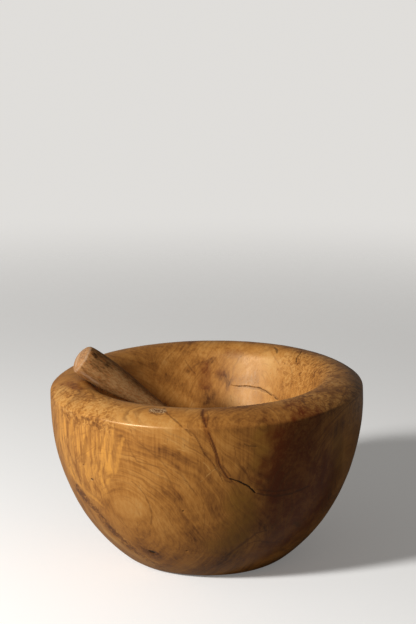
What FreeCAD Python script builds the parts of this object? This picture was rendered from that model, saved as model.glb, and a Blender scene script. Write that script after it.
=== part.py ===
import FreeCAD, Part
import math
import os

from FreeCAD import Vector

# A large mortar turned from one block of wood, with a loose turned pestle leaning in it.
# Millimetres and degrees. The origin is the centre of the foot's flat underside, +Z is up,
# -Y faces the viewer, and the pestle's handle rests on the rim at -X.
# Azimuths are counted from +X towards +Y.

# --- Mortar: outer wall, an ellipse turned about the axis -------------------------------------
belly_radius = 160.0          # widest radius of the wall
belly_height = 164.0          # height of the widest ring above the foot
belly_semi_height = 193.5     # vertical semi-axis of the wall's ellipse
heel_radius = 18.0            # rounding between the wall and the flat foot

# --- Mortar: rim ------------------------------------------------------------------------------
rim_height = 188.0            # height of the rim's crest above the foot, on the axis's own level
crest_radius = 132.0          # distance of the crest from the axis
crown_turn = 42.6             # how far the crown has turned down from level where it meets the wall
crease_rounding = 3.5         # softened ridge where the crown meets the wall
lip_radius = 20.0             # roll from the crest over into the bowl
rim_tilt = 0.9                # the hand-finished rim and bowl are not quite square to the foot
rim_low_azimuth = 180.0       # the side on which the rim is lowest

# --- Mortar: bowl, a straight side that runs down into a round floor ---------------------------
side_slope = 70.0             # steepness of the side, where the lip's roll ends
floor_thickness = 42.0        # wood left under the middle of the bowl

# --- Pestle: stations are distances along its axis from the edge of the handle's domed butt ----
pestle_length = 237.3         # from the edge of the butt to the bottom of the pounding head
butt_dome_height = 5.0        # how far the butt bulges past its own edge
butt_edge_radius = 15.0       # radius of the butt's edge
butt_edge_rounding = 2.0      # worn edge of the butt
handle_radius = 16.0          # thickest ring of the handle
handle_station = 9.0
neck_radius = 6.0             # thinnest ring, between the handle and the pounding head
neck_station = 121.0
head_radius = 19.0            # widest ring and round end of the pounding head
pestle_azimuth = 188.5        # the side of the rim on which the handle rests
rest_station = 19.5           # the ring of the handle that lies on the lip

# --- How the two pieces meet ------------------------------------------------------------------
seat_clearance = 0.3          # gap left at each place where the pestle rests on the mortar
lift_margin = 12.0            # height of the lifted pestle's lowest point over the rim


def line(start, end):
    return Part.LineSegment(start, end).toShape()


def section_point(radius, height):
    """A point of a half section in the XZ plane."""
    return Vector(radius, 0, height)


def arc_point(centre, radius, angle):
    """A point of an arc in the XZ plane; the angle is counted from straight up towards +X."""
    turn = math.radians(angle)
    return centre + Vector(radius * math.sin(turn), 0, radius * math.cos(turn))


def arc(centre, radius, start_angle, end_angle):
    middle_angle = (start_angle + end_angle) / 2
    angles = (start_angle, middle_angle, end_angle)
    return Part.Arc(*[arc_point(centre, radius, angle) for angle in angles]).toShape()


def section_face(edges):
    """The flat face inside a closed half section."""
    return Part.Face(Part.Wire(Part.__sortEdges__(edges)))


def turned(edges, axis):
    """The solid swept by a closed half section about an axis through the origin."""
    return Part.Solid(section_face(edges).revolve(Vector(0, 0, 0), axis, 360))


# --- Mortar -----------------------------------------------------------------------------------

def wall_radius(height):
    """Radius of the outer wall's ellipse at a height above the foot."""
    share = (height - belly_height) / belly_semi_height
    return belly_radius * math.sqrt(1 - share * share)


def wall_arc(low, high):
    """The stretch of the wall's ellipse between two heights."""
    centre = section_point(0, belly_height)
    top = section_point(0, belly_height + belly_semi_height)
    if belly_semi_height >= belly_radius:
        ellipse = Part.Ellipse(top, section_point(belly_radius, belly_height), centre)
    else:
        ellipse = Part.Ellipse(section_point(-belly_radius, belly_height), top, centre)
    ends = [ellipse.parameter(section_point(wall_radius(height), height)) for height in (low, high)]
    return ellipse.toShape(min(ends), max(ends))


def make_blank():
    """The turned outside of the block, left standing above the rim, with its heel rounded."""
    top = rim_height + lip_radius
    edges = [
        line(section_point(0, 0), section_point(wall_radius(0), 0)),
        wall_arc(0, top),
        line(section_point(wall_radius(top), top), section_point(0, top)),
        line(section_point(0, top), section_point(0, 0)),
    ]
    blank = turned(edges, Vector(0, 0, 1))
    heel = [edge for edge in blank.Edges if edge.BoundBox.ZMax < 0.01 and edge.Closed]
    return blank.makeFillet(heel_radius, heel)


def lip_centre():
    return section_point(crest_radius, rim_height - lip_radius)


def bowl_curves():
    """The roll from the crest into the bowl, the straight side and the round floor, all tangent."""
    slope = math.radians(side_slope)
    side_top = arc_point(lip_centre(), lip_radius, -side_slope)
    depth = side_top.z - floor_thickness
    floor_radius = (side_top.x * math.sin(slope) - depth * math.cos(slope)) / (1 - math.cos(slope))
    floor_centre = section_point(0, floor_thickness + floor_radius)
    return [
        arc(lip_centre(), lip_radius, 0, -side_slope),
        line(side_top, arc_point(floor_centre, floor_radius, 180 - side_slope)),
        arc(floor_centre, floor_radius, 180 - side_slope, 180),
    ]


def crown_radius():
    """Radius of the arc that leaves the crest level and falls out to the crease on the wall."""
    return (wall_radius(rim_height) - crest_radius) / math.sin(math.radians(crown_turn))


def crown_and_bowl_section():
    """Half section of all that lies under the crown, the lip and the bowl, past the blank's edges."""
    crown_centre = section_point(crest_radius, rim_height - crown_radius())
    outside = arc_point(crown_centre, crown_radius(), 90)
    bottom = -lip_radius
    return bowl_curves() + [
        arc(crown_centre, crown_radius(), 0, 90),
        line(outside, section_point(outside.x, bottom)),
        line(section_point(outside.x, bottom), section_point(0, bottom)),
        line(section_point(0, bottom), section_point(0, floor_thickness)),
    ]


def tip_to_low_side(shape):
    """Tips the bowl, or what lies in it, about the level of the crest towards the low side."""
    turn = math.radians(rim_low_azimuth)
    hinge = Vector(-math.sin(turn), math.cos(turn), 0)
    shape.rotate(Vector(0, 0, rim_height), hinge, rim_tilt)
    return shape


def is_crease(edge, solid):
    """Whether an edge is part of the ridge between the crown and the outer wall."""
    middle = edge.valueAt((edge.FirstParameter + edge.LastParameter) / 2)
    middle_radius = math.hypot(middle.x, middle.y)
    faces = solid.ancestorsOfType(edge, Part.Face)
    beside_the_crown = any(isinstance(face.Surface, Part.Toroid) for face in faces)
    return beside_the_crown and len(faces) == 2 and middle_radius > (crest_radius + belly_radius) / 2


def make_mortar():
    crown_and_bowl = turned(crown_and_bowl_section(), Vector(0, 0, 1))
    mortar = make_blank().common(tip_to_low_side(crown_and_bowl)).Solids[0]
    crease = [edge for edge in mortar.Edges if is_crease(edge, mortar)]
    return mortar.makeFillet(crease_rounding, crease)


# --- Pestle: made along +X, with the edge of its butt at the origin ---------------------------

def arc_over(width, height):
    """Radius of an arc that starts level and moves by a width and a height."""
    return (width * width + height * height) / (2 * height)


def thickest_ring():
    return section_point(handle_station, handle_radius)


def neck_ring():
    return section_point(neck_station, neck_radius)


def butt_curves():
    """The domed butt and the short swell from its edge to the handle's thickest ring."""
    dome_radius = arc_over(butt_edge_radius, butt_dome_height)
    dome_angle = math.degrees(math.asin(butt_edge_radius / dome_radius))
    dome_centre = section_point(dome_radius - butt_dome_height, 0)
    swell_radius = arc_over(handle_station, handle_radius - butt_edge_radius)
    swell_angle = math.degrees(math.asin(handle_station / swell_radius))
    swell_centre = thickest_ring() - Vector(0, 0, swell_radius)
    return [
        arc(dome_centre, dome_radius, -90, dome_angle - 90),
        arc(swell_centre, swell_radius, -swell_angle, 0),
    ]


def handle_curves():
    """The handle thins to the neck in two equal arcs, level at both ends."""
    radius = arc_over((neck_station - handle_station) / 2, (handle_radius - neck_radius) / 2)
    turn = math.degrees(math.asin((neck_station - handle_station) / 2 / radius))
    return [
        arc(thickest_ring() - Vector(0, 0, radius), radius, 0, turn),
        arc(neck_ring() + Vector(0, 0, radius), radius, 180 + turn, 180),
    ]


def head_curves():
    """The neck swells to the pounding head in two equal arcs, and the head's end is a half ball."""
    widest = section_point(pestle_length - head_radius, head_radius)
    radius = arc_over((widest.x - neck_station) / 2, (head_radius - neck_radius) / 2)
    turn = math.degrees(math.asin((widest.x - neck_station) / 2 / radius))
    return [
        arc(neck_ring() + Vector(0, 0, radius), radius, 180, 180 - turn),
        arc(widest - Vector(0, 0, radius), radius, -turn, 0),
        arc(section_point(widest.x, 0), head_radius, 0, 90),
    ]


def make_pestle():
    edges = butt_curves() + handle_curves() + head_curves() + [
        line(section_point(pestle_length, 0), section_point(-butt_dome_height, 0)),
    ]
    pestle = turned(edges, Vector(1, 0, 0))
    butt_edge = [edge for edge in pestle.Edges if abs(edge.BoundBox.XMax) < 0.01 and edge.Closed]
    return pestle.makeFillet(butt_edge_rounding, butt_edge)


def resting_ring():
    """Radius of the handle, and its angle to the axis, at the ring that lies on the lip."""
    arc_radius = arc_over((neck_station - handle_station) / 2, (handle_radius - neck_radius) / 2)
    angle = math.asin((rest_station - handle_station) / arc_radius)
    return handle_radius - arc_radius * (1 - math.cos(angle)), angle


# --- Resting place of the pestle, in the section plane of the untipped bowl --------------------

def lay_down(shape, lean):
    """Leans the pestle, its handle lying on the lip at -X and its head going down towards +X."""
    turn = math.radians(lean)
    upwards = Vector(math.sin(turn), 0, math.cos(turn))
    along = Vector(math.cos(turn), 0, -math.sin(turn))
    radius, taper = resting_ring()
    off_the_lip = upwards * math.cos(taper) - along * math.sin(taper)
    lip = Vector(-crest_radius, 0, rim_height - lip_radius)
    touching = lip + off_the_lip * (lip_radius + seat_clearance)
    shape.rotate(Vector(0, 0, 0), Vector(0, 1, 0), lean)
    shape.translate(touching + upwards * radius - along * rest_station)
    return shape


def both_sides(half, axis):
    """A flat half section with its mirror image across the axis it was drawn against."""
    across = Vector(axis.z, 0, axis.x)
    return Part.Compound([half, half.mirror(Vector(0, 0, 0), across)])


def head_section():
    """Flat section through the pounding head, from the neck to the bottom."""
    edges = head_curves() + [
        line(section_point(pestle_length, 0), section_point(neck_station, 0)),
        line(section_point(neck_station, 0), neck_ring()),
    ]
    return both_sides(section_face(edges), Vector(1, 0, 0))


def head_gap(lean):
    """Gap between the leaning head and the wood around the bowl, nothing where they overlap."""
    wood = both_sides(section_face(crown_and_bowl_section()), Vector(0, 0, 1))
    return lay_down(head_section(), lean).distToShape(wood)[0]


def resting_lean():
    """The steepest lean at which the head still clears the bowl, found by halving."""
    steep = 90.0
    shallow = 0.0
    halvings = 24
    for _ in range(halvings):
        middle = (steep + shallow) / 2
        if head_gap(middle) < seat_clearance:
            steep = middle
        else:
            shallow = middle
    return shallow


def place_pestle(pestle, lean):
    lay_down(pestle, lean)
    pestle.rotate(Vector(0, 0, 0), Vector(0, 0, 1), pestle_azimuth - 180)
    return tip_to_low_side(pestle)


def main():
    mortar = make_mortar()
    lean = resting_lean()
    pestle = place_pestle(make_pestle(), lean)
    os.makedirs("parts", exist_ok=True)
    mortar.exportStep("parts/mortar.step")
    pestle.exportStep("parts/pestle.step")

    crest = rim_height + crest_radius * math.sin(math.radians(rim_tilt))
    travel = crest + lift_margin - pestle.optimalBoundingBox(False).ZMin
    print("pestle lean %.2f degrees, seat gap %.3f mm" % (lean, pestle.distToShape(mortar)[0]))
    print("travel that lifts the pestle clear of the rim %.1f mm" % travel)


main()
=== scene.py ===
import math

import bmesh
import bpy
import numpy as np
from mathutils import Matrix, Vector, noise
from mathutils.bvhtree import BVHTree


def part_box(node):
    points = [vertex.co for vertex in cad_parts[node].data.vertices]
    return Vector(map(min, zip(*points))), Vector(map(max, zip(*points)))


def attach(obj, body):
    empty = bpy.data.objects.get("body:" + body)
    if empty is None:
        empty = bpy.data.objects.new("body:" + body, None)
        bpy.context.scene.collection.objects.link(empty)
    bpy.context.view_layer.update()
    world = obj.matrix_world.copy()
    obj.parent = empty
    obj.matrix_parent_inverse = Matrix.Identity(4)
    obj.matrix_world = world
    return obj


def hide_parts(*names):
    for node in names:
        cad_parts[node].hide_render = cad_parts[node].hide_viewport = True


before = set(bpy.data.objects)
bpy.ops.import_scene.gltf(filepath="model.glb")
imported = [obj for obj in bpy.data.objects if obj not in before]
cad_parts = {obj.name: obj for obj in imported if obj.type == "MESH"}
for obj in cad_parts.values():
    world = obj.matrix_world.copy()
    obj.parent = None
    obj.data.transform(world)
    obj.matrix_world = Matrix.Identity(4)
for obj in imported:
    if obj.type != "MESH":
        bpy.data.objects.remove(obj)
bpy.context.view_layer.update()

# A large mortar turned from one block of olive wood, with a loose pestle leaning in it.
# Metres, +Z up, the foot's centre at the origin, the viewer at -Y, the pestle's handle at -X.

MM = 0.001

# --- Mortar: the turned section ----------------------------------------------------------------
mortar_low, mortar_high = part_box("mortar")
belly_radius = (mortar_high.x - mortar_low.x) / 2
belly_height = 164.0 * MM
belly_semi_height = 193.5 * MM
heel_reach = 6.0 * MM           # how far the heel's rounding reaches along the foot and the wall
heel_segments = 8
rim_height = 188.0 * MM
crest_radius = 132.0 * MM
crease_drop = 11.3 * MM
crease_reach = 1.4 * MM         # how far the crease's rounding reaches along the wall and the crown
crease_segments = 5
lip_radius = 20.0 * MM
side_slope = 70.0
floor_thickness = 42.0 * MM
rim_tilt = 0.9                  # degrees, the rim and bowl are tipped towards -X
tilt_fade = 70.0 * MM           # height below the crease over which the wall takes up the tilt

turning_steps = 280             # facets round the mortar
row = 1.9 * MM                  # distance between the rings of the fine surfaces
coarse_row = 5.0 * MM           # the same on the foot and on the floor of the bowl
wave_height = 0.35 * MM         # how uneven the hand finishing leaves the surface
wave_size = 45.0 * MM
ripple_height = 0.10 * MM       # the same in small
ripple_size = 12.0 * MM
crack_depth = 0.9 * MM

# Faces are divided near every mark, then again near thin marks, then again near cracks.
mark_margin = 1.2 * MM
thin_margin = 0.5 * MM
crack_margin = 0.4 * MM
thin_mark = 1.25 * MM           # half width under which a mark is thin

# --- Pestle ------------------------------------------------------------------------------------
pestle_length = 237.3 * MM
butt_dome_height = 5.0 * MM
butt_edge_radius = 15.0 * MM
butt_reach = 2.4 * MM           # how far the worn rounding of the butt's edge reaches
butt_segments = 6
handle_radius = 16.0 * MM
handle_station = 9.0 * MM
neck_radius = 6.0 * MM
neck_station = 121.0 * MM
head_radius = 19.0 * MM
pestle_lean = 36.12             # degrees below level
pestle_azimuth = 8.5            # degrees from -X towards -Y
rest_station = 19.5 * MM
seat_clearance = 0.3 * MM
pestle_steps = 96

# --- Camera: where the photograph was taken from ------------------------------------------------
frame_width, frame_height = 416, 624    # pixels
lens_mm = 85.0
sensor_mm = 36.0                # along the frame's height
camera_place = Vector((0.0016, -1.4605, 0.578))
camera_pitch = 12.61            # degrees below level

# --- Stage: the lamp stands where the photograph's light comes from -----------------------------
stage_radius = 2.4
key_azimuth = 216.0             # degrees from +X towards +Y
key_elevation = 28.0
key_distance = 2.2
key_size = 0.28
key_energy = 63.0
key_aim = Vector((0, 0, 0.1))
fill_strength = 0.13            # of the world, on the object
backdrop_strength = 0.80        # of the world, as the camera sees it
glow_strength = 0.16            # of the floor, as the camera sees it


# --- Drawing a turned section -------------------------------------------------------------------

def spaced(start, end, length, spacing):
    """Evenly spaced values from start to end, both included, for a stretch of that length."""
    return np.linspace(start, end, max(2, round(length / spacing) + 1))


def arc_points(centre, radius, start, end, spacing):
    """Points of an arc in a (radius, height) section, angles counted from straight up outwards."""
    length = radius * abs(math.radians(end - start))
    turns = np.radians(spaced(start, end, length, spacing))
    return [(centre[0] + radius * math.sin(turn), centre[1] + radius * math.cos(turn)) for turn in turns]


def arc_over(width, height):
    """Radius of an arc that starts level and moves by a width and a height."""
    return (width * width + height * height) / (2 * height)


def turned(outline, steps, axis):
    """A closed mesh swept by an open outline, whose two ends lie on the axis."""
    bm = bmesh.new()
    across = Vector((1, 0, 0)) if axis.z else Vector((0, 0, 1))
    points = [bm.verts.new(across * radius + axis * height) for radius, height in outline]
    edges = [bm.edges.new(pair) for pair in zip(points, points[1:])]
    bmesh.ops.spin(
        bm, geom=points + edges, cent=(0, 0, 0), axis=axis, angle=math.tau, steps=steps, use_merge=True
    )
    bmesh.ops.remove_doubles(bm, verts=bm.verts, dist=0.001 * MM)
    bmesh.ops.recalc_face_normals(bm, faces=bm.faces)
    return bm


def round_ring(bm, axis, radius, station, reach, segments):
    """Rounds the sharp ring at that radius and station along the axis."""
    near = 0.01 * MM

    def on_ring(vert):
        along = vert.co.dot(axis)
        off_axis = (vert.co - axis * along).length
        return abs(along - station) < near and abs(off_axis - radius) < near

    ring = [edge for edge in bm.edges if on_ring(edge.verts[0]) and on_ring(edge.verts[1])]
    bmesh.ops.bevel(
        bm, geom=ring, offset=reach, offset_type="OFFSET", affect="EDGES", segments=segments, profile=0.5,
        material=-1, clamp_overlap=True,
    )


def finished(name, bm):
    """The piece that a bmesh holds, smooth shaded, with its place in its mesh."""
    for face in bm.faces:
        face.smooth = True
    mesh = bpy.data.meshes.new(name)
    bm.to_mesh(mesh)
    bm.free()
    piece = bpy.data.objects.new(name, mesh)
    bpy.context.scene.collection.objects.link(piece)
    return piece


# --- Mortar: form --------------------------------------------------------------------------------

def wall_radius(height):
    """Radius of the outer wall, an ellipse turned about the axis."""
    share = (height - belly_height) / belly_semi_height
    return belly_radius * math.sqrt(1 - share * share)


def mortar_outline():
    """From the foot's centre up the wall, over the rim and down to the floor of the bowl.

    The rows stop short of the heel's and the crease's sharp rings, which are rounded afterwards.
    """
    foot_radius = wall_radius(0)
    crease_height = rim_height - crease_drop
    crease = (wall_radius(crease_height), crease_height)
    crown_radius = arc_over(crease[0] - crest_radius, crease_drop)
    crown_turn = math.degrees(math.asin((crease[0] - crest_radius) / crown_radius))
    crown_gap = math.degrees(2 * crease_reach / crown_radius)
    lip_centre = (crest_radius, rim_height - lip_radius)
    slope = math.radians(side_slope)
    side_top = (
        lip_centre[0] - lip_radius * math.sin(slope),
        lip_centre[1] + lip_radius * math.cos(slope),
    )
    depth = side_top[1] - floor_thickness
    floor_arc = (side_top[0] * math.sin(slope) - depth * math.cos(slope)) / (1 - math.cos(slope))
    floor = arc_points((0, floor_thickness + floor_arc), floor_arc, 180 - side_slope, 180, coarse_row)
    side_drop = side_top[1] - floor[0][1]

    outline = [(radius, 0) for radius in spaced(0, foot_radius - 1.3 * heel_reach, foot_radius, coarse_row)]
    outline.append((foot_radius, 0))
    heights = spaced(0.8 * heel_reach, crease_height - 1.5 * crease_reach, crease_height, row)
    outline += [(wall_radius(height), height) for height in heights]
    outline.append(crease)
    crown_centre = (crest_radius, rim_height - crown_radius)
    outline += arc_points(crown_centre, crown_radius, crown_turn - crown_gap, 0, row)
    outline += arc_points(lip_centre, lip_radius, 0, -side_slope, row)[1:]
    for share in spaced(0, 1, side_drop / math.sin(slope), row)[1:-1]:
        outline.append((
            side_top[0] + (floor[0][0] - side_top[0]) * share,
            side_top[1] - side_drop * share,
        ))
    return outline + floor[:-1] + [(0, floor_thickness)]


def tip_share(place):
    """How much of the rim's tilt a place takes: all of it on the rim and in the bowl."""
    crease_height = rim_height - crease_drop
    radius = math.hypot(place.x, place.y)
    on_wall = radius > wall_radius(min(place.z, crease_height)) - 0.5 * MM or place.z < floor_thickness - MM
    if not on_wall or place.z > crease_height:
        return 1.0
    share = max(0.0, 1 - (crease_height - place.z) / tilt_fade)
    return share * share * (3 - 2 * share)


def tip_rim(bm):
    """Tips the rim and the bowl towards -X; the wall takes up the tilt below the crease."""
    pivot = Vector((0, 0, rim_height))
    for vert in bm.verts:
        turn = Matrix.Rotation(-math.radians(rim_tilt) * tip_share(vert.co), 3, "Y")
        vert.co = pivot + turn @ (vert.co - pivot)


def mortar_form():
    axis = Vector((0, 0, 1))
    bm = turned(mortar_outline(), turning_steps, axis)
    crease_height = rim_height - crease_drop
    round_ring(bm, axis, wall_radius(0), 0, heel_reach, heel_segments)
    round_ring(bm, axis, wall_radius(crease_height), crease_height, crease_reach, crease_segments)
    tip_rim(bm)
    return bm


# --- Marks in the mortar's wood, and painted sheen, highlights and shade, by the pixels of the photograph that show them ---
# Each mark is its half width in millimetres, its strength and the pixels it runs through.

cracks = [
    (0.7, 1.0, [(230, 478), (237, 481), (244, 484), (250, 487), (256, 493)]),
    (0.5, 0.65, [(232, 385), (239, 386), (247, 386), (257, 387), (265, 390), (271, 395), (277, 399),
                 (284, 400)]),
    (0.6, 0.7, [(303, 350), (300, 354), (297, 358), (296, 363)]),
    (1.3, 0.6, [(275, 347), (277, 350), (277, 353)]),
    (0.6, 0.35, [(245, 444), (250, 447), (257, 447)]),
    (2.4, 1.0, [(150, 551), (155, 553)]),
    (1.0, 1.0, [(91, 479), (93, 480)]),
    (0.8, 0.7, [(83, 464), (84, 465)]),
    (0.8, 0.8, [(183, 511), (184, 511)]),
    (0.7, 0.5, [(186, 551), (188, 551)]),
]
dark_dashes = [
    (0.7, 0.8, [(163, 411), (172, 418), (180, 425), (186, 430), (192, 436)]),
    (1.0, 0.6, [(150, 408), (151, 413), (157, 414)]),
    (0.9, 0.9, [(164, 408), (167, 415)]),
    (0.8, 0.8, [(150, 412), (157, 415), (163, 414)]),
    (1.4, 0.7, [(81, 417), (86, 419), (90, 420)]),
    (1.1, 0.6, [(93, 423), (98, 426)]),
    (0.9, 0.6, [(102, 425), (105, 425)]),
    (1.7, 0.6, [(118, 436), (122, 436)]),
    (1.6, 0.5, [(302, 400), (304, 403)]),
    (1.5, 0.6, [(341, 399), (344, 401), (348, 400)]),
    (2.2, 0.9, [(294, 522), (300, 526)]),
    (1.0, 0.7, [(303, 519), (306, 518)]),
    (1.5, 0.7, [(187, 370), (190, 372)]),
    (1.4, 0.6, [(206, 452), (205, 456)]),
]
veins = [
    (1.3, 1.0, [(203, 409), (202, 416), (204, 421), (206, 427)]),
    (0.6, 0.7, [(207, 411), (208, 418), (207, 425)]),
    (0.8, 1.0, [(206, 427), (210, 436), (214, 446), (217, 454), (219, 463), (223, 472), (227, 477),
                (232, 480)]),
    (0.5, 0.8, [(209, 440), (216, 455), (217, 464), (221, 474), (227, 481)]),
    (0.6, 0.8, [(186, 429), (193, 434), (200, 444), (206, 456), (213, 464), (219, 473), (223, 482)]),
    (0.6, 0.6, [(221, 454), (224, 467), (231, 477)]),
    (0.6, 0.6, [(223, 478), (226, 481), (230, 482), (233, 481)]),
    (0.5, 0.5, [(234, 446), (236, 457), (241, 467), (249, 477), (252, 484)]),
    (1.2, 0.8, [(256, 493), (262, 495), (275, 496), (288, 494), (298, 491), (308, 486)]),
    (0.8, 0.6, [(257, 489), (268, 491), (282, 491), (292, 488)]),
    (1.5, 0.6, [(225, 557), (237, 548), (247, 540), (257, 533), (267, 530)]),
    (1.0, 0.5, [(245, 544), (257, 541), (268, 542), (280, 542), (283, 536)]),
    (0.6, 0.5, [(227, 376), (227, 384), (227, 391)]),
    (0.7, 0.5, [(185, 360), (189, 366), (192, 370), (196, 374)]),
    (0.9, 0.3, [(190, 369), (197, 364), (206, 361), (214, 357)]),
    (0.9, 0.25, [(247, 350), (239, 358), (234, 367), (232, 378)]),
    (0.9, 0.2, [(283, 362), (290, 366), (293, 374), (290, 382)]),
    (1.4, 0.5, [(238, 386), (257, 388), (268, 392), (280, 400)]),
    (0.6, 0.5, [(231, 395), (232, 402), (231, 407)]),
]
growth_arcs = [
    (0.7, 0.7, [(129, 428), (134, 438), (143, 446), (153, 454), (161, 461), (171, 470), (180, 474),
                (188, 483), (193, 490), (198, 497)]),
    (0.7, 0.7, [(126, 440), (131, 451), (137, 461), (146, 463), (156, 466), (163, 471), (170, 481),
                (174, 490)]),
    (0.6, 0.5, [(158, 443), (167, 448), (180, 454), (191, 461), (200, 467)]),
    (0.6, 0.5, [(154, 454), (167, 464), (180, 471), (187, 481), (191, 489)]),
    (0.7, 0.8, [(132, 481), (140, 488), (146, 497), (150, 506), (152, 513), (151, 523), (150, 538)]),
    (0.5, 0.5, [(136, 518), (138, 526), (143, 520)]),
    (0.5, 0.4, [(104, 480), (113, 500), (124, 523), (136, 538), (147, 549)]),
    (0.5, 0.5, [(203, 500), (205, 515), (204, 530)]),
    (0.5, 0.5, [(208, 502), (210, 518), (209, 532)]),
]
bright_tongues = [
    (2.0, 1.0, [(124, 439), (121, 445), (119, 450), (118, 458), (117, 466), (115, 473)]),
    (1.8, 0.9, [(110, 478), (108, 481), (106, 484)]),
    (1.1, 0.8, [(107, 429), (105, 438), (103, 450), (101, 460)]),
    (1.5, 0.7, [(112, 430), (113, 440), (111, 452)]),
    (1.2, 0.8, [(97, 438), (97, 456)]),
    (1.6, 0.8, [(73, 440), (74, 458)]),
    (1.4, 0.8, [(79, 440), (78, 451)]),
    (2.2, 0.8, [(72, 419), (70, 434)]),
    (2.0, 0.8, [(64, 415), (66, 432)]),
    (2.2, 0.9, [(60, 430), (63, 450), (68, 467)]),
    (2.4, 1.0, [(68, 467), (76, 480), (86, 492), (97, 500), (103, 506)]),
    (1.6, 0.7, [(101, 486), (103, 498)]),
    (1.2, 0.7, [(87, 425), (87, 436)]),
    (1.2, 0.6, [(90, 464), (89, 474)]),
]
dark_tongues = [
    (1.2, 0.9, [(76, 416), (75, 424), (74, 431)]),
    (1.0, 0.8, [(90, 427), (91, 445)]),
    (3.6, 0.8, [(86, 438), (84, 463)]),
    (1.2, 0.7, [(81, 441), (82, 462)]),
    (1.1, 0.7, [(102, 437), (100, 452)]),
    (0.9, 0.7, [(105, 428), (103, 447)]),
    (0.9, 0.7, [(110, 430), (107, 466)]),
    (0.8, 0.6, [(99, 430), (97, 450), (95, 470)]),
    (1.3, 0.5, [(109, 435), (108, 458)]),
    (3.0, 0.6, [(115, 432), (114, 462)]),
    (1.0, 0.7, [(96, 442), (94, 458)]),
    (1.0, 0.8, [(92, 457), (91, 467)]),
    (1.4, 0.7, [(72, 457), (73, 468)]),
    (1.5, 0.8, [(76, 455), (77, 473)]),
    (1.2, 0.6, [(68, 440), (69, 456)]),
    (0.8, 0.7, [(100, 460), (98, 472)]),
    (0.8, 0.7, [(105, 462), (103, 474)]),
    (1.6, 0.6, [(112, 474), (108, 478)]),
]
pale_scratches_and_glints = [
    (0.4, 0.8, [(163, 443), (180, 450), (197, 454)]),
    (0.4, 0.8, [(200, 459), (207, 466), (213, 473)]),
    (0.4, 0.8, [(217, 468), (208, 475), (200, 482)]),
    (0.4, 0.5, [(166, 437), (180, 446)]),
    # painted highlight: the lit lower edge of the crack inside the bowl
    (0.5, 0.6, [(236, 389), (257, 390), (267, 394), (277, 402)]),
]

# Each region is its radius in millimetres, its strength and the pixels it runs through.
curly_regions = [
    (15, 1.0, [(62, 420), (66, 450), (76, 475)]),
    (15, 1.0, [(82, 428), (86, 460), (94, 480)]),
    (12, 1.0, [(104, 434), (106, 462)]),
]
burl_regions = [
    (20, 0.65, [(62, 390), (85, 400), (104, 406)]),
    (30, 0.65, [(304, 360), (330, 372), (343, 388)]),
    (16, 0.7, [(300, 405), (325, 398)]),
    (9, 0.7, [(64, 412), (90, 418), (108, 424)]),
    (7, 0.7, [(78, 488), (98, 512), (118, 536), (136, 552), (160, 566)]),
]
red_regions = [
    # painted shadow: a dark red patch on the rim under the pestle's butt end
    (4.5, 0.6, [(66, 383), (74, 386), (79, 388)]),
    (28, 1.0, [(302, 440), (292, 470), (288, 500)]),
    (28, 0.95, [(318, 480), (300, 520)]),
    (16, 0.6, [(285, 535), (262, 552)]),
    (6, 0.7, [(206, 368), (205, 386)]),
    (3, 0.4, [(217, 372), (222, 374)]),
    (3.5, 0.35, [(187, 370), (194, 372)]),
    (6, 0.6, [(229, 353), (238, 354)]),
    (2.2, 0.5, [(206, 430), (214, 448), (219, 464), (226, 477)]),
    (2.2, 0.5, [(204, 411), (205, 426)]),
]
olive_regions = [
    (13, 0.9, [(240, 500), (243, 520), (232, 540)]),
    (9, 0.6, [(264, 436), (260, 462)]),
    (10, 0.6, [(338, 440), (336, 474)]),
    (10, 0.5, [(212, 545), (232, 552)]),
]
pale_wood_and_highlight_regions = [
    # painted sheen: a pale band on the crown just above the crease at the front left, where the lamp's
    # sheen falls
    (9, 0.8, [(92, 407), (112, 414), (135, 419), (165, 423)]),
    (5.5, 0.2, [(109, 430), (106, 450), (105, 466)]),
    (8.0, 0.7, [(60, 388), (64, 398), (74, 406)]),
    (11, 0.8, [(122, 506), (136, 507)]),
    (4.5, 0.6, [(80, 497), (93, 518), (122, 547), (150, 563)]),
    (7, 0.5, [(165, 439), (184, 446)]),
    (2.5, 0.6, [(160, 460), (178, 472), (190, 486)]),
    (10, 0.3, [(226, 440), (232, 462)]),
    (7, 0.5, [(262, 560), (285, 552)]),
    (4, 0.6, [(330, 440), (328, 470)]),
    (3, 0.6, [(345, 436), (342, 470)]),
    # painted highlights: the lamp's broad sheen on the lit back wall inside the bowl, high and low
    (15, 0.8, [(240, 360), (262, 362), (284, 368)]),
    (14, 0.5, [(240, 393), (270, 402)]),
]
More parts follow.
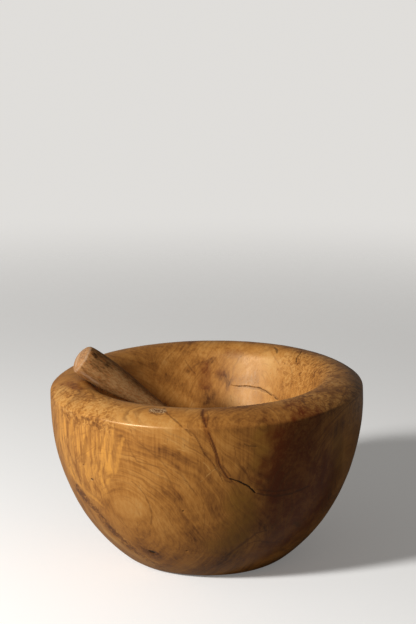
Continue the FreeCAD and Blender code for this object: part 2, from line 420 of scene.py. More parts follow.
dark_wood_and_shade_regions = [
    # painted shadow: darkening on the rim under the pestle's butt end
    (5.0, 0.7, [(66, 383), (74, 386), (80, 389)]),
    (2.5, 0.7, [(64, 393), (70, 397)]),
    (3.0, 0.5, [(116, 483), (125, 485)]),
    (4.0, 0.8, [(146, 551), (158, 554)]),
    (5.0, 0.9, [(78, 488), (85, 498), (98, 512), (118, 536), (134, 550)]),
    (4.0, 0.5, [(163, 449), (176, 453), (190, 460)]),
    (6, 1.0, [(294, 522), (301, 525)]),
    (6, 0.5, [(166, 516), (174, 520)]),
    (24, 0.35, [(188, 500), (186, 545)]),
    (20, 0.4, [(150, 545), (170, 560)]),
    (16, 0.7, [(245, 455), (246, 470)]),
    # partly darker wood, partly painted shade: darkens the right half of the front, which is turned from
    # the lamp
    (38, 0.45, [(240, 440), (236, 500), (225, 550)]),
    (8, 0.5, [(180, 384), (193, 392)]),
    (5, 0.5, [(286, 408), (299, 412)]),
    (14, 0.4, [(250, 436), (262, 438)]),
    (9, 0.6, [(198, 366), (203, 384)]),
    (3.0, 0.7, [(190, 369), (200, 364), (214, 360)]),
    (3.0, 0.5, [(222, 355), (227, 372), (228, 384)]),
    (9, 0.5, [(140, 350), (165, 347), (188, 345)]),
    # partly darker wood, partly painted shade: these three darken the right side, turned from the lamp, and
    # the low belly by the floor
    (30, 0.55, [(272, 448), (286, 490), (272, 530)]),
    (22, 0.5, [(196, 562), (236, 563), (272, 549)]),
    (22, 0.45, [(334, 432), (328, 476), (312, 520)]),
    (16, 0.5, [(228, 436), (246, 470)]),
]
filler_regions = [
    (3.6, 1.0, [(153, 410), (162, 411)]),
]

# The growth rings of the left and right halves close round the hearts, and bend round the other two.
left_heart = (126, 524)
right_heart = (344, 470)
pale_oval = (130, 506)
knot = (297, 523)


def sight(column, line):
    """Direction of the camera's ray through a pixel."""
    pitch = math.radians(camera_pitch)
    forward = Vector((0, math.cos(pitch), -math.sin(pitch)))
    upward = Vector((0, math.sin(pitch), math.cos(pitch)))
    reach = lens_mm / sensor_mm * frame_height
    sideways = Vector(((column - frame_width / 2) / reach, 0, 0))
    return (forward + sideways + upward * ((frame_height / 2 - line) / reach)).normalized()


def seen_at(surface, pixel):
    """The place on a piece that a pixel shows."""
    place = surface.ray_cast(camera_place, sight(*pixel))[0]
    if place is None:
        raise ValueError("pixel %s misses the piece" % (pixel,))
    return place


def placed(surface, marks):
    """Marks with their pixels turned into places, and their sizes into metres."""
    return [
        (size * MM, strength, [seen_at(surface, pixel) for pixel in path]) for size, strength, path in marks
    ]


def refine_along(bm, marks, margin):
    """Divides the faces near the marks, so that they can be carved and drawn finely."""
    surface = BVHTree.FromBMesh(bm)
    bm.faces.ensure_lookup_table()
    near = set()
    for half_width, _, path in marks:
        for start, end in zip(path, path[1:]):
            for share in spaced(0, 1, (end - start).length, row):
                place = start.lerp(end, share)
                near.update(hit[2] for hit in surface.find_nearest_range(place, half_width + margin))
    edges = {edge for index in near for edge in bm.faces[index].edges}
    bmesh.ops.subdivide_edges(bm, edges=list(edges), cuts=1, use_grid_fill=True)


def path_distance(points, path):
    """Distance of each point from a path, and how far along the path its nearest place is."""
    lengths = [(end - start).length for start, end in zip(path, path[1:])]
    nearest = np.full(len(points), np.inf)
    travelled = np.zeros(len(points))
    before = 0.0
    for start, end, length in zip(path, path[1:], lengths):
        start, along = np.array(start), np.array(end - start)
        share = np.clip((points - start) @ along / (along @ along), 0, 1)
        distance = np.linalg.norm(points - start - share[:, None] * along, axis=1)
        closer = distance < nearest
        nearest[closer] = distance[closer]
        travelled[closer] = (before + share[closer] * length) / sum(lengths)
        before += length
    return nearest, travelled


def eased(values):
    """Values cut to 0 to 1, with a smooth start and end."""
    values = np.clip(values, 0, 1)
    return values * values * (3 - 2 * values)


def noise_at(points, size, seed):
    """Smooth noise between about -1 and 1, with features of that size."""
    shift = Vector((seed * 7.31, seed * 3.17, seed * 5.53))
    return np.array([noise.noise(Vector(point) / size + shift) for point in points])


def moved_about(points, size, reach, seed):
    """The points shifted by smooth noise, which makes what is drawn round them uneven."""
    shifts = [noise_at(points, size, seed + axis) for axis in range(3)]
    return points + np.stack(shifts, axis=1) * reach


def drawn(points, marks):
    """Strength of a set of thin marks at each point: uneven lines that taper at both ends."""
    wavering = moved_about(points, size=7 * MM, reach=0.9 * MM, seed=31)
    weight = 1 + 0.5 * noise_at(points, size=3 * MM, seed=34)
    strongest = np.zeros(len(points))
    for half_width, strength, path in marks:
        distance, share = path_distance(wavering, path)
        width = half_width * weight * (0.45 + 0.55 * np.sqrt(np.sin(math.pi * share)))
        strongest = np.maximum(strongest, strength * eased(1.6 - distance / width))
    return strongest


def spread(points, regions, ragged):
    """Strength of a set of soft regions at each point; ragged sets how uneven their borders are."""
    wander = noise_at(points, size=14 * MM, seed=41) + 0.5 * noise_at(points, size=5 * MM, seed=42)
    strongest = np.zeros(len(points))
    for radius, strength, path in regions:
        distance = path_distance(points, path)[0] / radius + ragged * wander
        strongest = np.maximum(strongest, strength * eased(1.6 - distance))
    return strongest


def growth_distance(points, surface):
    """Distance grown from the nearest heart of the tree, warped as figured wood is."""
    young_radius = 26 * MM          # inside it the rings lie wider apart
    middle = Vector((0, 0, 110 * MM))
    warped = moved_about(points, size=75 * MM, reach=11 * MM, seed=11)
    warped = moved_about(warped, size=22 * MM, reach=2.5 * MM, seed=14)
    distances = []
    for pixel, late_start in ((left_heart, 0), (right_heart, 30 * MM)):
        heart = seen_at(surface, pixel)
        inwards = (middle - heart).normalized()
        offset = warped - np.array(heart)
        along = offset @ np.array(inwards)
        away = np.sqrt(np.maximum(0, (offset * offset).sum(axis=1) - along * along))
        distances.append(np.hypot(away, young_radius) - young_radius + late_start)
    meeting = 8 * MM
    share = eased(0.5 + (distances[0] - distances[1]) / (2 * meeting))
    grown = distances[0] * (1 - share) + distances[1] * share
    for pixel, swirl, size in ((pale_oval, 9 * MM, 14 * MM), (knot, 16 * MM, 9 * MM)):
        away = np.linalg.norm(points - np.array(seen_at(surface, pixel)), axis=1)
        grown -= swirl * np.exp(-0.5 * (away / size) ** 2)
    return grown


def point_array(mesh):
    points = np.zeros(len(mesh.vertices) * 3, np.float32)
    mesh.vertices.foreach_get("co", points)
    return points.reshape(-1, 3).astype(float)


def inside_bowl(points):
    """How far each point lies inside the bowl, from nothing on the crest to one below the lip."""
    radius = np.hypot(points[:, 0], points[:, 1])
    below_lip = eased((crest_radius - radius) / lip_radius)
    return np.where(points[:, 2] > floor_thickness - 5 * MM, below_lip, 0)


def store(mesh, name, values):
    """Keeps one value for each point of a piece, for its material to read."""
    mesh.attributes.new(name, "FLOAT", "POINT").data.foreach_set("value", values.astype(np.float32))


def carve(mesh, points, depths):
    """Sinks the surface by a depth at each point, and makes it slightly uneven by hand finishing."""
    normals = np.zeros(len(points) * 3, np.float32)
    mesh.vertices.foreach_get("normal", normals)
    normals = normals.reshape(-1, 3)
    wave = wave_height * noise_at(points, wave_size, seed=21)
    ripple = ripple_height * noise_at(points, ripple_size, seed=22)
    on_foot = points[:, 2] < MM
    shift = np.where(on_foot, 0, wave + ripple - depths)
    mesh.vertices.foreach_set("co", (points + normals * shift[:, None]).astype(np.float32).ravel())


def make_mortar():
    bm = mortar_form()
    surface = BVHTree.FromBMesh(bm)

    carved = placed(surface, cracks)
    painted = {name: placed(surface, marks) for name, marks in (
        ("dash", dark_dashes), ("vein", veins), ("arc", growth_arcs), ("scratch_and_glint", pale_scratches_and_glints),
        ("bright", bright_tongues), ("dark", dark_tongues),
    )}
    marks = carved + sum(painted.values(), [])
    refine_along(bm, marks, mark_margin)
    refine_along(bm, [mark for mark in marks if mark[0] < thin_mark], thin_margin)
    refine_along(bm, carved, crack_margin)
    piece = finished("olive_mortar", bm)
    mesh = piece.data
    points = point_array(mesh)
    crack = drawn(points, carved)
    store(mesh, "crack", crack)
    for name, marks in painted.items():
        store(mesh, name, drawn(points, marks))
    for name, regions, ragged in (
        ("curly", curly_regions, 0.35), ("burl", burl_regions, 0.5), ("red", red_regions, 0.5),
        ("olive", olive_regions, 0.5), ("filler", filler_regions, 0.3),
    ):
        store(mesh, name, spread(points, placed(surface, regions), ragged))
    # The stored tone is the pale regions less the dark ones, with the painted sheen, highlights and shade
    # among them.
    dark = spread(points, placed(surface, dark_wood_and_shade_regions), 0.4)
    store(mesh, "tone_and_painted_light", spread(points, placed(surface, pale_wood_and_highlight_regions), 0.3) - dark)
    store(mesh, "growth", growth_distance(points, surface))
    store(mesh, "inside", inside_bowl(points))
    carve(mesh, points, crack_depth * crack)
    return piece


mortar = make_mortar()
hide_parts("mortar")
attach(mortar, "mortar")


# --- Pestle --------------------------------------------------------------------------------------

# The handle thins to the neck by two equal arcs, one round and one hollow, and so does the head.
handle_half = (neck_station - handle_station) / 2
handle_arc = arc_over(handle_half, (handle_radius - neck_radius) / 2)
head_station = pestle_length - head_radius
head_half = (head_station - neck_station) / 2
head_arc = arc_over(head_half, (head_radius - neck_radius) / 2)


def pestle_outline():
    """From the butt's middle over the handle, the neck and the head to the head's bottom.

    The rows stop short of the butt's sharp edge, which is rounded afterwards.
    """
    dome_radius = arc_over(butt_edge_radius, butt_dome_height)
    dome_turn = math.degrees(math.asin(butt_edge_radius / dome_radius))
    handle_turn = math.degrees(math.asin(handle_half / handle_arc))
    head_turn = math.degrees(math.asin(head_half / head_arc))
    swell = arc_over(handle_station, handle_radius - butt_edge_radius)
    swell_turn = math.degrees(math.asin(handle_station / swell))

    def along(centre, radius, start, end):
        """The same arcs, drawn with the station first, as (radius, station)."""
        return [(y, x) for x, y in arc_points(centre, radius, start, end, row)]

    dome_gap = math.degrees(1.5 * butt_reach / dome_radius)
    swell_gap = math.degrees(1.5 * butt_reach / swell)
    return (
        along((dome_radius - butt_dome_height, 0), dome_radius, -90, dome_turn - 90 - dome_gap)
        + [(butt_edge_radius, 0)]
        + along((handle_station, handle_radius - swell), swell, swell_gap - swell_turn, 0)
        + along((handle_station, handle_radius - handle_arc), handle_arc, 0, handle_turn)[1:]
        + along((neck_station, neck_radius + handle_arc), handle_arc, 180 + handle_turn, 180)[1:]
        + along((neck_station, neck_radius + head_arc), head_arc, 180, 180 - head_turn)[1:]
        + along((head_station, head_radius - head_arc), head_arc, -head_turn, 0)[1:]
        + along((head_station, 0), head_radius, 0, 90)[1:]
    )


def pestle_place():
    """Turns the pestle from the X axis to where it leans on the rim, as the CAD model lays it."""
    lean = math.radians(pestle_lean)
    upwards = Vector((math.sin(lean), 0, math.cos(lean)))
    along = Vector((math.cos(lean), 0, -math.sin(lean)))
    taper = math.asin((rest_station - handle_station) / handle_arc)
    ring_radius = handle_radius - handle_arc * (1 - math.cos(taper))
    off_the_lip = upwards * math.cos(taper) - along * math.sin(taper)
    lip = Vector((-crest_radius, 0, rim_height - lip_radius))
    butt = lip + off_the_lip * (lip_radius + seat_clearance) + upwards * ring_radius - along * rest_station
    pivot = Matrix.Translation((0, 0, rim_height))
    tip = pivot @ Matrix.Rotation(-math.radians(rim_tilt), 4, "Y") @ pivot.inverted()
    swing = Matrix.Rotation(math.radians(pestle_azimuth), 4, "Z")
    return tip @ swing @ Matrix.Translation(butt) @ Matrix.Rotation(lean, 4, "Y")


# Regions of the pestle's wood, like those of the mortar, and one region of painted light.
worn_regions = [
    (2.0, 1.0, [(79, 355), (77, 360), (76, 364)]),
    (1.6, 0.7, [(86, 349), (82, 352)]),
    (1.4, 0.6, [(76, 366), (84, 374), (97, 383)]),
]
stained_regions = [
    (1.9, 1.0, [(94, 354), (96, 357)]),
    (3.0, 0.30, [(93, 351), (101, 358), (110, 366)]),
    (3.0, 0.30, [(84, 350), (81, 357)]),
]
pestle_painted_light_regions = [
    # painted light: lightens the pestle's far part by the rim, where the rim's shade falls
    (7.0, 0.35, [(116, 378), (128, 389), (140, 397)]),
]


def make_pestle():
    axis = Vector((1, 0, 0))
    bm = turned(pestle_outline(), pestle_steps, axis)
    round_ring(bm, axis, butt_edge_radius, 0, butt_reach, butt_segments)
    bmesh.ops.transform(bm, matrix=pestle_place(), verts=bm.verts)
    surface = BVHTree.FromBMesh(bm)
    piece = finished("olive_pestle", bm)
    points = point_array(piece.data)
    to_axis = np.array(pestle_place().inverted())
    local = points @ to_axis[:3, :3].T + to_axis[:3, 3]
    off_axis = np.hypot(local[:, 1], local[:, 2])

    # The butt is worn pale at its edge, and less on its face.
    edge_width = 1.1 * MM
    face_depth = 2 * MM
    off_edge = np.hypot(local[:, 0], off_axis - butt_edge_radius) / edge_width
    below_face = local[:, 0] / face_depth
    edge_wear = 0.8 * eased(1.7 - off_edge + 0.9 * noise_at(points, size=4 * MM, seed=51))
    face_wear = 0.35 * eased(0.1 - below_face + 1.3 * noise_at(points, size=3 * MM, seed=52))
    spots = spread(points, placed(surface, worn_regions), 0.3)
    store(piece.data, "wear", np.maximum(spots, np.maximum(edge_wear, face_wear)))
    # The stored tone is the painted light on the far part less the stains.
    pestle_painted_light = spread(points, placed(surface, pestle_painted_light_regions), 0.3)
    store(piece.data, "tone_and_painted_light", pestle_painted_light - spread(points, placed(surface, stained_regions), 0.3))
    return piece


pestle = make_pestle()
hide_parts("pestle")
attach(pestle, "pestle")


# --- Materials -------------------------------------------------------------------------------------

deep_brown = (0.105, 0.034, 0.008)
brown = (0.220, 0.082, 0.017)
golden = (0.360, 0.145, 0.028)
honey = (0.450, 0.198, 0.044)
straw = (0.540, 0.285, 0.085)
flame_gold = (0.600, 0.268, 0.050)
red_brown = (0.125, 0.019, 0.002)
olive_gold = (0.230, 0.105, 0.012)
vein_red = (0.062, 0.014, 0.005)
crack_black = (0.018, 0.008, 0.004)
filler_white = (0.520, 0.320, 0.150)
wood_sheen = (1.000, 0.740, 0.460)
pestle_dark = (0.055, 0.024, 0.008)
pestle_brown = (0.160, 0.070, 0.022)
pestle_tan = (0.310, 0.142, 0.046)
pestle_pale = (0.440, 0.235, 0.090)
pestle_rust = (0.420, 0.130, 0.030)
pestle_worn = (0.440, 0.270, 0.155)
pestle_pore = (0.045, 0.020, 0.009)
floor_white = (0.900, 0.890, 0.870)
floor_shade = (0.260, 0.240, 0.220)
floor_glow = (0.950, 0.930, 0.900)
backdrop = (0.930, 0.910, 0.880)


def put(tree, kind, inputs=None, **settings):
    """Adds a node, sets its settings, and links or sets its inputs by name."""
    node = tree.nodes.new("ShaderNode" + kind)
    for name, value in settings.items():
        setattr(node, name, value)
    for name, value in (inputs or {}).items():
        if isinstance(value, bpy.types.NodeSocket):
            tree.links.new(value, node.inputs[name])
        else:
            node.inputs[name].default_value = value
    return node


def maths(tree, operation, first, second=0.0):
    return put(tree, "Math", {0: first, 1: second}, operation=operation).outputs[0]


def times(tree, first, second):
    return maths(tree, "MULTIPLY", first, second)


def mixed(tree, share, first, second):
    """A colour mixed from two, each a socket or a plain colour."""
    colours = [c if isinstance(c, bpy.types.NodeSocket) else (*c, 1) for c in (first, second)]
    return put(tree, "Mix", {0: share, 6: colours[0], 7: colours[1]}, data_type="RGBA").outputs[2]


def between(tree, value, low, high, to_low=0.0, to_high=1.0):
    """A value eased from one level to the other while the input goes from low to high."""
    inputs = {"Value": value, "From Min": low, "From Max": high, "To Min": to_low, "To Max": to_high}
    return put(tree, "MapRange", inputs, interpolation_type="SMOOTHSTEP").outputs[0]


def ramp(tree, value, stops):
    """A colour from a row of stops, each a position and a colour."""
    node = put(tree, "ValToRGB", {0: value})
    elements = node.color_ramp.elements
    while len(elements) < len(stops):
        elements.new(0.5)
    for element, (position, colour) in zip(elements, stops):
        element.position = position
        element.color = (*colour, 1)
    return node.outputs[0]


def scaled(tree, place, scale):
    return put(tree, "Mapping", {"Vector": place, "Scale": scale}).outputs[0]


def noise_value(tree, place, scale, detail=3.0, roughness=0.55, distortion=0.0, depth=None):
    """Noise over a place, or over a place and a fourth value, the depth."""
    inputs = {
        "Vector": place, "Scale": scale, "Detail": detail, "Roughness": roughness, "Distortion": distortion,
    }
    if depth is None:
        return put(tree, "TexNoise", inputs).outputs[0]
    inputs["W"] = depth
    return put(tree, "TexNoise", inputs, noise_dimensions="4D").outputs[0]


def new_group(name, inputs, outputs):
    """An empty node group with named sockets, and its tree's input and output nodes."""
    group = bpy.data.node_groups.new(name, "ShaderNodeTree")
    for socket, kind, value in inputs:
        made = group.interface.new_socket(name=socket, in_out="INPUT", socket_type="NodeSocket" + kind)
        if value is not None:
            made.default_value = value
    for socket, kind in outputs:
        group.interface.new_socket(name=socket, in_out="OUTPUT", socket_type="NodeSocket" + kind)
    return group, group.nodes.new("NodeGroupInput").outputs, group.nodes.new("NodeGroupOutput").inputs


def give(group, result, **values):
    """Links the values that a node group gives to its output node."""
    for name, value in values.items():
        group.links.new(value, result[name])


def year_ends(tree, place, growth, years_per_metre):
    """Thin lines where a year's growth ends: it darkens slowly and breaks off, in some years more."""
    wander = times(tree, noise_value(tree, place, scale=26, detail=2), 2.4)
    phase = maths(tree, "ADD", times(tree, growth, years_per_metre), wander)
    share = maths(tree, "FRACT", phase)
    year = put(tree, "TexWhiteNoise", {"W": maths(tree, "FLOOR", phase)}, noise_dimensions="1D")
    rise = between(tree, share, 0.35, 0.90)
    fall = between(tree, share, 0.90, 1.0, 1.0, 0.0)
    patches = between(tree, noise_value(tree, place, scale=30, detail=2), 0.36, 0.62)
    strength = times(tree, between(tree, year.outputs["Value"], 0.25, 0.95), patches)
    return times(tree, times(tree, rise, fall), strength)


def grain_group():
    """Wood grain: rings that follow the growth, fibres along the local Z axis, pores and blotches."""
    group, given, result = new_group(
        "wood_grain",
        [("Place", "Vector", None), ("Growth", "Float", 0.0), ("Fineness", "Float", 1.0)],
        [(name, "Float") for name in ("Rings", "Lines", "Strands", "Years", "Fibres", "Pores", "Blotches")],
    )
    scaling = {0: given["Place"], "Scale": given["Fineness"]}
    place = put(group, "VectorMath", scaling, operation="SCALE").outputs[0]
    growth = times(group, given["Growth"], given["Fineness"])
    rippled = maths(group, "ADD", growth, times(group, noise_value(group, place, scale=90), 2.5 * MM))
    rings = noise_value(group, place, 9, detail=3, roughness=0.5, depth=times(group, rippled, 6.0))
    lines = noise_value(group, place, 16, detail=3, roughness=0.65, depth=times(group, rippled, 26.0))
    contours = noise_value(group, place, 11, detail=2, roughness=0.5, depth=times(group, rippled, 10.0))
    off_contour = maths(group, "ABSOLUTE", maths(group, "SUBTRACT", contours, 0.5))
    wide_years = year_ends(group, place, rippled, 170)
    narrow_years = year_ends(group, place, rippled, 390)
    years = maths(group, "MAXIMUM", wide_years, narrow_years)
    fibres = noise_value(group, scaled(group, place, (1, 1, 0.06)), 340, detail=5, roughness=0.72)
    pores = noise_value(group, scaled(group, place, (1, 1, 0.14)), 1100, detail=2, roughness=0.5)
    blotches = noise_value(group, place, 38, detail=4, roughness=0.62, distortion=0.5)
    give(
        group, result,
        Rings=between(group, rings, 0.3, 0.7),
        Lines=between(group, lines, 0.3, 0.7),
        Strands=between(group, off_contour, 0.0, 0.018, 1.0, 0.0),
        Years=years,
        Fibres=between(group, fibres, 0.32, 0.68),
        Pores=between(group, pores, 0.64, 0.74),
        Blotches=between(group, blotches, 0.3, 0.7),
    )
    return group


def curl_group():
    """Curly figure: upright tongues of bright wood with brown between them."""
    group, given, result = new_group(
        "curly_figure", [("Place", "Vector", None)], [("Tongues", "Float"), ("Patches", "Float")]
    )
    tall = scaled(group, given["Place"], (1, 1, 0.10))
    tongues = noise_value(group, tall, 200, detail=4, roughness=0.66, distortion=0.3)
    oval = scaled(group, given["Place"], (1, 1, 0.45))
    patches = noise_value(group, oval, 60, detail=3, roughness=0.6, distortion=0.6)
    give(
        group, result,
        Tongues=between(group, tongues, 0.40, 0.58),
        Patches=between(group, patches, 0.38, 0.58),
    )
    return group


def burl_group():
    """Burl: short light and dark strokes with pin knots."""
    group, given, result = new_group(
        "burl_figure", [("Place", "Vector", None)], [("Strokes", "Float"), ("Pins", "Float")]
    )
    strokes = noise_value(group, given["Place"], 230, detail=5, roughness=0.70, distortion=0.8)
    pins = noise_value(group, given["Place"], 420, detail=2, roughness=0.5, distortion=0.4)
    give(
        group, result,
        Strokes=between(group, strokes, 0.32, 0.66),
        Pins=between(group, pins, 0.63, 0.73),
    )
    return group


def used(tree, group, inputs):
    """The outputs of a node group that is placed in a material."""
    return put(tree, "Group", inputs, node_tree=group).outputs


def marked(tree, name):
    """A value that is stored on the piece."""
    return put(tree, "Attribute", attribute_name=name).outputs["Fac"]


def blend(tree, *terms):
    """The sum of values, each times its weight."""
    total = 0.0
    for value, weight in terms:
        total = put(tree, "Math", {0: value, 1: weight, 2: total}, operation="MULTIPLY_ADD").outputs[0]
    return total


def shaded(material, colour, roughness, specular, relief, depth, strength):
    """Links a material's colour, roughness and bump to its shader."""
    tree = material.node_tree
    shader = tree.nodes["Principled BSDF"]
    tree.links.new(colour, shader.inputs["Base Color"])
    tree.links.new(roughness, shader.inputs["Roughness"])
    shader.inputs["Specular IOR Level"].default_value = specular
    shader.inputs["Specular Tint"].default_value = (*wood_sheen, 1)
    bump = put(tree, "Bump", {"Height": relief, "Distance": depth, "Strength": strength})
    tree.links.new(bump.outputs[0], shader.inputs["Normal"])
    return material


def new_material(name):
    material = bpy.data.materials.new(name)
    material.use_nodes = True
    return material, material.node_tree


def mortar_wood(grain, curl, burl):
    material, tree = new_material("mortar_olive_wood")
    place = put(tree, "TexCoord").outputs["Object"]
    # The tone holds paler and darker wood, and also the painted sheen, highlights and shade.
    tone_and_painted_light = marked(tree, "tone_and_painted_light")
    growth = marked(tree, "growth")
    figure = used(tree, grain, {"Place": place, "Growth": growth, "Fineness": 1.0})
    curly = used(tree, curl, {"Place": place})
    burled = used(tree, burl, {"Place": place})

    # The hearts are plain, and the year lines show away from them.
    calm_heart = between(tree, growth, -4 * MM, 22 * MM, 0.9, 0.0)
    off_heart = between(tree, growth, 0, 45 * MM, 0.0, 0.6)
    calm_level = 0.26
    ringed = blend(tree, (figure["Rings"], 0.25), (figure["Lines"], 0.18))
    ringed = put(tree, "Mix", {0: calm_heart, 2: ringed, 3: calm_level}, data_type="FLOAT").outputs[0]

    # The bowl's inside is rougher and mottled.
    inside = marked(tree, "inside")
    mottling = blend(tree, (figure["Blotches"], 0.16), (burled["Strokes"], 0.09), (1.0, -0.13))
    mottling = times(tree, mottling, inside)
    lightness = blend(
        tree, (ringed, 1.0), (figure["Fibres"], 0.17), (figure["Blotches"], 0.19), (tone_and_painted_light, 0.26),
        (mottling, 1.0), (1.0, -0.045),
    )
    colour = ramp(tree, lightness, [
        (0.00, deep_brown), (0.12, brown), (0.32, golden), (0.52, honey), (0.85, straw),
    ])
    tongues = blend(
        tree, (curly["Tongues"], 0.52), (curly["Patches"], 0.30), (figure["Fibres"], 0.12), (tone_and_painted_light, 0.32)
    )
    tongue_wood = ramp(tree, tongues, [(0.05, brown), (0.28, golden), (0.56, honey), (0.86, flame_gold)])
    curly_share = marked(tree, "curly")
    plain_share = blend(tree, (curly_share, -0.6), (inside, -0.45), (off_heart, 1.0))
    colour = mixed(tree, curly_share, colour, tongue_wood)

    strokes = blend(tree, (burled["Strokes"], 0.80), (figure["Blotches"], 0.24), (tone_and_painted_light, 0.25), (1.0, -0.08))
    burl_wood = ramp(tree, strokes, [
        (0.10, deep_brown), (0.28, brown), (0.46, golden), (0.62, honey), (0.88, straw),
    ])
    height = put(tree, "SeparateXYZ", {0: place}).outputs[2]
    on_rim = between(tree, height, rim_height - 18 * MM, rim_height - 6 * MM, 0.0, 0.15)
    burl_share = maths(tree, "MAXIMUM", marked(tree, "burl"), on_rim)
    colour = mixed(tree, burl_share, colour, burl_wood)
    pin_share = times(tree, burled["Pins"], times(tree, burl_share, 0.5))
    colour = mixed(tree, pin_share, colour, deep_brown)

    olive_share = times(tree, marked(tree, "olive"), between(tree, figure["Blotches"], 0, 1, 0.5, 0.9))
    colour = mixed(tree, olive_share, colour, olive_gold)
    mottle = blend(tree, (figure["Blotches"], 0.6), (burled["Strokes"], 0.4))
    red_share = times(tree, marked(tree, "red"), between(tree, mottle, 0.2, 0.8, 1.0, 0.6))
    colour = mixed(tree, red_share, colour, red_brown)
    bright_share = times(tree, marked(tree, "bright"), between(tree, figure["Fibres"], 0, 1, 0.5, 1.0))
    for share, strength, layer in (
        (times(tree, figure["Strands"], figure["Blotches"]), 0.55, brown),
        (times(tree, figure["Years"], plain_share), 0.85, deep_brown),
        (figure["Pores"], 0.35, deep_brown),
        (marked(tree, "dark"), 0.75, brown),
        (bright_share, 0.80, flame_gold),
        (marked(tree, "arc"), 0.60, deep_brown),
        # pale scratches, and the painted highlight along the crack inside the bowl
        (marked(tree, "scratch_and_glint"), 0.80, straw),
        (marked(tree, "dash"), 0.85, deep_brown),
        (marked(tree, "vein"), 0.85, vein_red),
    ):
        colour = mixed(tree, times(tree, share, strength), colour, layer)
    speckle = between(tree, noise_value(tree, place, scale=900, detail=2), 0.42, 0.62)
    filler = mixed(tree, speckle, deep_brown, filler_white)
    colour = mixed(tree, marked(tree, "filler"), colour, filler)
    colour = mixed(tree, marked(tree, "crack"), colour, crack_black)

    relief = blend(
        tree, (figure["Fibres"], 0.3), (figure["Pores"], -1.0), (marked(tree, "arc"), -0.6),
        (marked(tree, "vein"), -0.8), (marked(tree, "scratch_and_glint"), -0.8),
    )
    roughness = blend(tree, (figure["Fibres"], 0.10), (inside, 0.12), (1.0, 0.30))
    return shaded(material, colour, roughness, 0.5, relief, 0.08 * MM, 0.6)


def pestle_wood(grain):
    material, tree = new_material("pestle_worn_wood")
    to_axis = Matrix.Rotation(math.radians(-90), 4, "Y") @ pestle_place().inverted()
    local = put(tree, "Mapping", {
        "Vector": put(tree, "TexCoord").outputs["Object"],
        "Location": to_axis.translation,
        "Rotation": to_axis.to_euler(),
    }).outputs[0]
    across = put(tree, "SeparateXYZ", {0: local}).outputs
    growth = blend(tree, (across[0], 1.0), (across[1], 0.3))
    figure = used(tree, grain, {"Place": local, "Growth": growth, "Fineness": 1.5})
    flecks = scaled(tree, local, (1, 1, 0.35))
    speckle = between(tree, noise_value(tree, flecks, 620, detail=4, roughness=0.7), 0.32, 0.68)
    patches = between(tree, noise_value(tree, flecks, 230, roughness=0.6), 0.36, 0.64)
    # The stored tone holds the stains and the painted light on the far part.
    lightness = blend(
        tree, (figure["Rings"], 0.10), (figure["Lines"], 0.06), (figure["Fibres"], 0.13),
        (figure["Blotches"], 0.16), (speckle, 0.37), (patches, 0.08), (marked(tree, "tone_and_painted_light"), 0.5),
        (1.0, 0.05),
    )
    colour = ramp(tree, lightness, [
        (0.05, pestle_dark), (0.25, pestle_brown), (0.50, pestle_tan), (0.80, pestle_pale),
    ])
    rust = between(tree, noise_value(tree, flecks, 700, roughness=0.6), 0.54, 0.66, 0.0, 0.5)
    colour = mixed(tree, rust, colour, pestle_rust)
    worn = times(tree, marked(tree, "wear"), between(tree, speckle, 0, 1, 0.7, 1.0))
    colour = mixed(tree, worn, colour, pestle_worn)
    colour = mixed(tree, times(tree, figure["Pores"], 0.45), colour, pestle_pore)
    relief = blend(tree, (figure["Fibres"], 0.4), (speckle, 0.5), (figure["Pores"], -1.0))
    roughness = between(tree, figure["Fibres"], 0, 1, 0.62, 0.76)
    return shaded(material, colour, roughness, 0.2, relief, 0.12 * MM, 0.7)


grain = grain_group()
mortar.data.materials.append(mortar_wood(grain, curl_group(), burl_group()))
pestle.data.materials.append(pestle_wood(grain))


# --- Stage -----------------------------------------------------------------------------------------

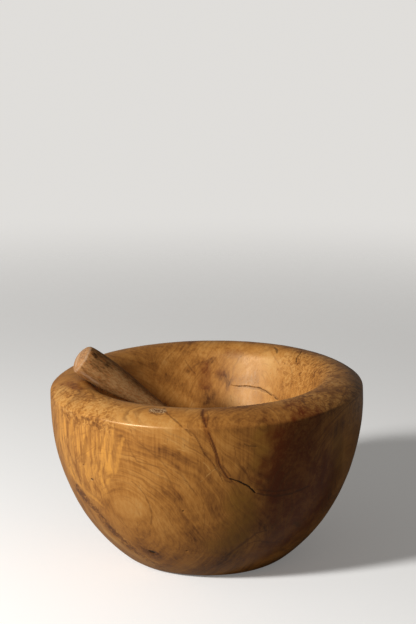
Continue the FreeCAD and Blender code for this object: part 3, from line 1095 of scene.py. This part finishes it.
def make_floor():
    """A floor that the camera sees white, and that fades into the background away from the object."""
    bm = bmesh.new()
    bmesh.ops.create_circle(bm, cap_ends=True, segments=96, radius=stage_radius)
    floor = finished("floor", bm)
    material, tree = new_material("floor_paint")
    shader = tree.nodes["Principled BSDF"]
    shader.inputs["Roughness"].default_value = 0.8
    seen = put(tree, "LightPath").outputs["Is Camera Ray"]
    tree.links.new(mixed(tree, seen, floor_shade, floor_white), shader.inputs["Base Color"])
    shader.inputs["Emission Color"].default_value = (*floor_glow, 1)
    tree.links.new(times(tree, seen, glow_strength), shader.inputs["Emission Strength"])
    place = put(tree, "TexCoord").outputs["Object"]
    away = put(tree, "VectorMath", {0: place}, operation="LENGTH").outputs["Value"]
    alpha = between(tree, away, stage_radius * 0.25, stage_radius * 0.95, 1.0, 0.0)
    tree.links.new(alpha, shader.inputs["Alpha"])
    floor.data.materials.append(material)


def make_lights():
    lamp = bpy.data.lights.new("key", "AREA")
    lamp.shape = "SQUARE"
    lamp.size = key_size
    lamp.energy = key_energy
    key = bpy.data.objects.new("key", lamp)
    azimuth = math.radians(key_azimuth)
    elevation = math.radians(key_elevation)
    direction = Vector((
        math.cos(azimuth) * math.cos(elevation),
        math.sin(azimuth) * math.cos(elevation),
        math.sin(elevation),
    ))
    key.location = key_aim + direction * key_distance
    key.rotation_euler = direction.to_track_quat("Z", "Y").to_euler()
    bpy.context.scene.collection.objects.link(key)

    world = bpy.data.worlds.new("studio")
    world.use_nodes = True
    bpy.context.scene.world = world
    tree = world.node_tree
    background = tree.nodes["Background"]
    background.inputs["Color"].default_value = (*backdrop, 1)
    seen = put(tree, "LightPath").outputs["Is Camera Ray"]
    levels = {"Value": seen, "To Min": fill_strength, "To Max": backdrop_strength}
    tree.links.new(put(tree, "MapRange", levels).outputs["Result"], background.inputs["Strength"])


def make_camera():
    data = bpy.data.cameras.new("camera")
    data.sensor_fit = "VERTICAL"
    data.sensor_height = sensor_mm
    data.lens = lens_mm
    camera = bpy.data.objects.new("camera", data)
    camera.location = camera_place
    camera.rotation_euler = (math.radians(90 - camera_pitch), 0, 0)
    bpy.context.scene.collection.objects.link(camera)
    bpy.context.scene.camera = camera


make_floor()
make_lights()
make_camera()
bpy.context.scene.view_settings.view_transform = "Standard"
